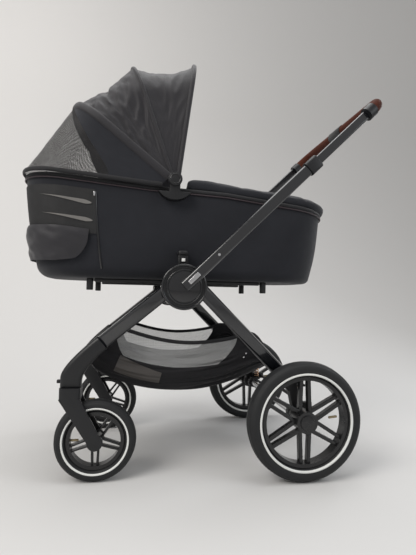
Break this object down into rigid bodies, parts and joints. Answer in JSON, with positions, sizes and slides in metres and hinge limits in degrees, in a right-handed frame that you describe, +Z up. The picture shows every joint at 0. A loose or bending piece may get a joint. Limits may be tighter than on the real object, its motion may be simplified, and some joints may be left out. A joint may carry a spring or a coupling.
{
  "type": "baby stroller",
  "caption": "Folding baby stroller with a carrycot, three-bow hood, shopping basket, swivel front wheels and telescopic leather handle.",
  "frame": {"origin": "on the floor below the middle of the bounding box", "axes": "+X towards the handle, +Y to the right hand of the person pushing, +Z up"},
  "size_m": [0.9943, 0.603, 1.121],
  "materials": {
    "frame": "satin black",
    "plastic": "fine moulded black",
    "rim": "satin black",
    "tyre": "ribbed with a pale ring",
    "leather": "dark brown, stitched",
    "cloth": "woven charcoal",
    "lining": "knitted grey",
    "steel": "plain"
  },
  "bodies": {
    "chassis": {"rear_leg_left": "frame", "rear_leg_right": "frame", "suspension_housings": "plastic", "rear_axle": "steel", "spring_brackets": "plastic", "suspension_springs": "steel", "brake_brackets": "plastic", "hub_pins": "steel", "cot_adapters": "plastic", "basket": "cloth"},
    "brake": {"brake_pedal": "plastic"},
    "front_frame": {"front_leg_left": "frame", "front_leg_right": "frame", "front_knee_left": "plastic", "front_knee_right": "plastic", "front_cross_tube": "frame"},
    "handle": {"handle_tube_left": "frame", "handle_tube_right": "frame", "hub_cover_left": "plastic", "hub_cover_right": "plastic", "telescope_collars": "plastic"},
    "push_bar": {"push_bar_tube_left": "frame", "push_bar_tube_right": "frame", "leather_grip_left": "leather", "leather_grip_right": "leather", "button_housing": "plastic"},
    "bar_button": {"telescope_button": "plastic"},
    "carrycot": {"cot_body": "cloth", "cot_rim": "cloth", "mattress": "lining", "apron": "cloth", "cot_feet": "plastic", "cot_rails": "plastic", "cot_brackets": "plastic", "hood_pivots": "plastic", "hood_rear_panel": "cloth"},
    "hood_rear": {"hood_rear_bow": "plastic", "hood_middle_panel": "cloth"},
    "hood_middle": {"hood_middle_bow": "plastic", "hood_front_panel": "cloth"},
    "hood_front": {"hood_front_bow": "plastic"},
    "caster_left": {"caster_fork_left": "plastic"},
    "front_wheel_left": {"front_tyre_left": "tyre", "front_rim_left": "rim"},
    "rear_wheel_left": {"rear_tyre_left": "tyre", "rear_rim_left": "rim"},
    "swivel_lever_left": {"swivel_lock_left": "plastic"},
    "fold_catch_left": {"fold_slider_left": "plastic"},
    "cot_button_left": {"release_button_left": "plastic"},
    "caster_right": {"caster_fork_right": "plastic"},
    "front_wheel_right": {"front_tyre_right": "tyre", "front_rim_right": "rim"},
    "rear_wheel_right": {"rear_tyre_right": "tyre", "rear_rim_right": "rim"},
    "swivel_lever_right": {"swivel_lock_right": "plastic"},
    "fold_catch_right": {"fold_slider_right": "plastic"},
    "cot_button_right": {"release_button_right": "plastic"}
  },
  "joints": [
    {"name": "handle_fold", "type": "hinge", "parent": "chassis", "child": "handle", "pos_m": [-0.061, 0, 0.484], "axis": [0, -1, 0], "range_deg": [0, 165]},
    {"name": "front_fold", "type": "hinge", "parent": "chassis", "child": "front_frame", "pos_m": [-0.061, 0, 0.484], "axis": [0, -1, 0], "range_deg": [0, 22]},
    {"name": "telescope", "type": "slide", "parent": "handle", "child": "push_bar", "axis": [0.712, 0, 0.7022], "range_m": [-0.05, 0.07]},
    {"name": "telescope_press", "type": "slide", "parent": "push_bar", "child": "bar_button", "axis": [-0.712, 0, -0.7022], "range_m": [0, 0.005], "stiffness_N_per_m": 400, "springref_m": -0.001},
    {"name": "brake_press", "type": "hinge", "parent": "chassis", "child": "brake", "pos_m": [0.284, 0, 0.172], "axis": [0, 1, 0], "range_deg": [0, 18]},
    {"name": "carrycot_lift", "type": "slide", "parent": "chassis", "child": "carrycot", "axis": [0, 0, 1], "range_m": [0, 0.3]},
    {"name": "hood_rear_turn", "type": "hinge", "parent": "carrycot", "child": "hood_rear", "pos_m": [-0.087, 0, 0.766], "axis": [0, -1, 0], "range_deg": [0, 33]},
    {"name": "hood_middle_turn", "type": "hinge", "parent": "hood_rear", "child": "hood_middle", "pos_m": [-0.087, 0, 0.766], "axis": [0, -1, 0], "range_deg": [0, 24]},
    {"name": "hood_front_turn", "type": "hinge", "parent": "hood_middle", "child": "hood_front", "pos_m": [-0.087, 0, 0.766], "axis": [0, -1, 0], "range_deg": [0, 22]},
    {"name": "caster_turn_left", "type": "hinge", "parent": "front_frame", "child": "caster_left", "pos_m": [-0.333, -0.209, 0.25], "axis": [0, 0, 1], "continuous": true},
    {"name": "front_wheel_spin_left", "type": "hinge", "parent": "caster_left", "child": "front_wheel_left", "pos_m": [-0.27, -0.209, 0.1], "axis": [0, 1, 0], "continuous": true},
    {"name": "rear_wheel_spin_left", "type": "hinge", "parent": "chassis", "child": "rear_wheel_left", "pos_m": [0.25, -0.277, 0.15], "axis": [0, 1, 0], "continuous": true},
    {"name": "swivel_lock_slide_left", "type": "slide", "parent": "front_frame", "child": "swivel_lever_left", "axis": [0, 0, 1], "range_m": [0, 0.004]},
    {"name": "fold_slide_left", "type": "slide", "parent": "handle", "child": "fold_catch_left", "axis": [0.712, 0, 0.7022], "range_m": [0, 0.02], "stiffness_N_per_m": 300, "springref_m": -0.004},
    {"name": "cot_release_left", "type": "slide", "parent": "chassis", "child": "cot_button_left", "axis": [0, 1, 0], "range_m": [0, 0.003], "stiffness_N_per_m": 800, "springref_m": -0.001},
    {"name": "caster_turn_right", "type": "hinge", "parent": "front_frame", "child": "caster_right", "pos_m": [-0.333, 0.209, 0.25], "axis": [0, 0, 1], "continuous": true},
    {"name": "front_wheel_spin_right", "type": "hinge", "parent": "caster_right", "child": "front_wheel_right", "pos_m": [-0.27, 0.209, 0.1], "axis": [0, 1, 0], "continuous": true},
    {"name": "rear_wheel_spin_right", "type": "hinge", "parent": "chassis", "child": "rear_wheel_right", "pos_m": [0.25, 0.277, 0.15], "axis": [0, 1, 0], "continuous": true},
    {"name": "swivel_lock_slide_right", "type": "slide", "parent": "front_frame", "child": "swivel_lever_right", "axis": [0, 0, 1], "range_m": [0, 0.004]},
    {"name": "fold_slide_right", "type": "slide", "parent": "handle", "child": "fold_catch_right", "axis": [0.712, 0, 0.7022], "range_m": [0, 0.02], "stiffness_N_per_m": 300, "springref_m": -0.004},
    {"name": "cot_release_right", "type": "slide", "parent": "chassis", "child": "cot_button_right", "axis": [0, -1, 0], "range_m": [0, 0.003], "stiffness_N_per_m": 800, "springref_m": -0.001}
  ],
  "couplings": [
    {"joint": "front_fold", "follows": "handle_fold", "ratio": 0.13333},
    {"joint": "hood_middle_turn", "follows": "hood_rear_turn", "ratio": 0.72727},
    {"joint": "hood_front_turn", "follows": "hood_rear_turn", "ratio": 0.66667}
  ]
}
